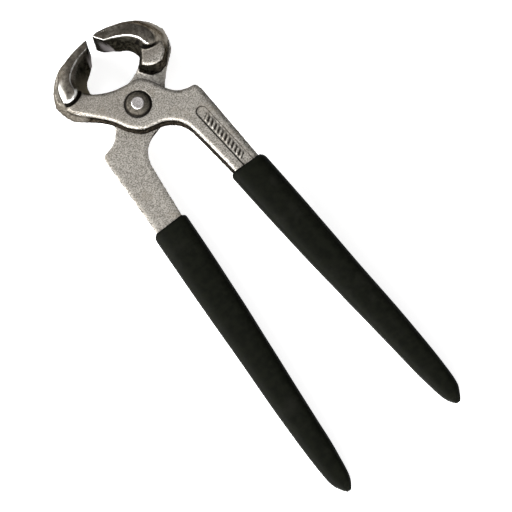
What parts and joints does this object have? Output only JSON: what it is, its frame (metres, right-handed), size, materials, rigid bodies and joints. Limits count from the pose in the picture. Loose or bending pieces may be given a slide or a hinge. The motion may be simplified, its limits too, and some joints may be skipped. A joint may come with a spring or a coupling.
{
  "type": "hoof nipper",
  "caption": "Hand pincers with two opposed curved jaws ending in a straight cutting edge, lapped on one rivet, with a black vinyl sleeve on each rein.",
  "frame": {"origin": "on the pivot axis, on the flat end of the rivet's tail at the back of the tool", "axes": "+Z along the pivot axis towards the rivet's formed head, +Y from the pivot towards the cutting edges, +X towards the rein of the front half"},
  "size_m": [0.0634, 0.2026, 0.022],
  "materials": {
    "forged_steel": "shot-blasted drop forging with polished jaws",
    "rivet_steel": "darker formed head with a bright flat",
    "black_vinyl": "matte dipped vinyl"
  },
  "bodies": {
    "rear_body": {"rear_half": "forged_steel", "rear_sleeve": "black_vinyl", "pivot_rivet": "rivet_steel"},
    "front_body": {"front_half": "forged_steel", "front_sleeve": "black_vinyl"}
  },
  "joints": [
    {"name": "jaw_pivot", "type": "hinge", "parent": "rear_body", "child": "front_body", "pos_m": [0, 0, 0.0084], "axis": [0, 0, 1], "range_deg": [-4.8, 37]}
  ]
}
